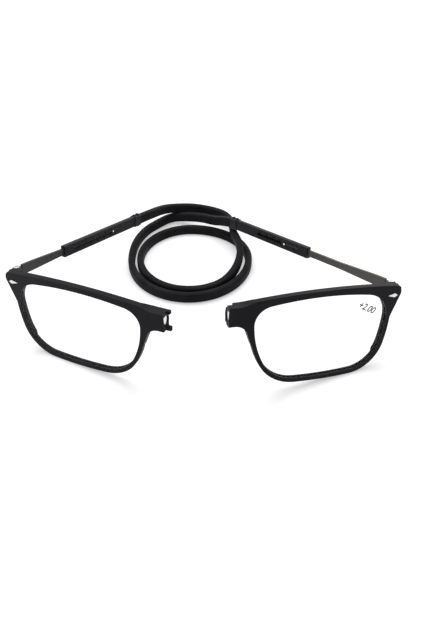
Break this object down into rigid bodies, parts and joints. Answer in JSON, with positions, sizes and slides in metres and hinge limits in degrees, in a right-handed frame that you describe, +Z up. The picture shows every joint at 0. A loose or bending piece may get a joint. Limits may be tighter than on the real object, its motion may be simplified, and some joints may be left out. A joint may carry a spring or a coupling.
{
  "type": "reading glasses",
  "caption": "Reading glasses whose halves part at a magnetic bridge, with arms that slide in sleeves and a flat neck band, laid down open with the band coiled.",
  "frame": {"origin": "centre of the box of the rigid pieces, on the plane that the lower rims and the band rest on", "axes": "+X to the wearer's left along the fronts, +Y from the fronts back to the band, +Z up"},
  "size_m": [0.1453, 0.134, 0.0399],
  "materials": {
    "front_plastic": "satin",
    "lens_clear": "clear, polished",
    "magnet_metal": "bright nickel",
    "hinge_metal": "satin",
    "screw_metal": "satin",
    "rivet_metal": "polished",
    "arm_metal_left": "satin gunmetal",
    "arm_metal_right": "satin gunmetal",
    "pin_metal": "polished",
    "sleeve_plastic": "satin",
    "collar_plastic": "satin",
    "band_rubber": "satin"
  },
  "bodies": {
    "band": {"band_lead_left": "band_rubber", "band_coil": "band_rubber", "band_lead_right": "band_rubber", "sleeve_left": "sleeve_plastic", "sleeve_right": "sleeve_plastic", "band_collar_left": "collar_plastic", "band_collar_right": "collar_plastic"},
    "arm_left": {"temple_arm_left": "arm_metal_left", "detent_pin_left": "pin_metal"},
    "arm_right": {"temple_arm_right": "arm_metal_right", "detent_pin_right": "pin_metal"},
    "front_left": {"front_left": "front_plastic", "lens_left": "lens_clear", "bridge_magnet_left": "magnet_metal", "hinge_bracket_left": "hinge_metal", "hinge_screw_left": "screw_metal", "decorative_rivet_left": "rivet_metal"},
    "front_right": {"front_right": "front_plastic", "lens_right": "lens_clear", "bridge_magnet_right": "magnet_metal", "hinge_bracket_right": "hinge_metal", "hinge_screw_right": "screw_metal", "decorative_rivet_right": "rivet_metal"}
  },
  "joints": [
    {"name": "arm_left_slide", "type": "slide", "parent": "band", "child": "arm_left", "axis": [0.5689, -0.8015, 0.1842], "range_m": [-0.0135, 0.009]},
    {"name": "arm_right_slide", "type": "slide", "parent": "band", "child": "arm_right", "axis": [-0.4797, -0.8547, 0.1984], "range_m": [0, 0.027]},
    {"name": "front_left_hinge", "type": "hinge", "parent": "arm_left", "child": "front_left", "pos_m": [0.06921, -0.02625, 0.02948], "axis": [-0.0437, -0.1493, -0.9878], "range_deg": [-18, 68]},
    {"name": "front_right_hinge", "type": "hinge", "parent": "arm_right", "child": "front_right", "pos_m": [-0.06885, -0.0191, 0.03096], "axis": [-0.0256, 0.0288, 0.9993], "range_deg": [-6, 80]}
  ]
}
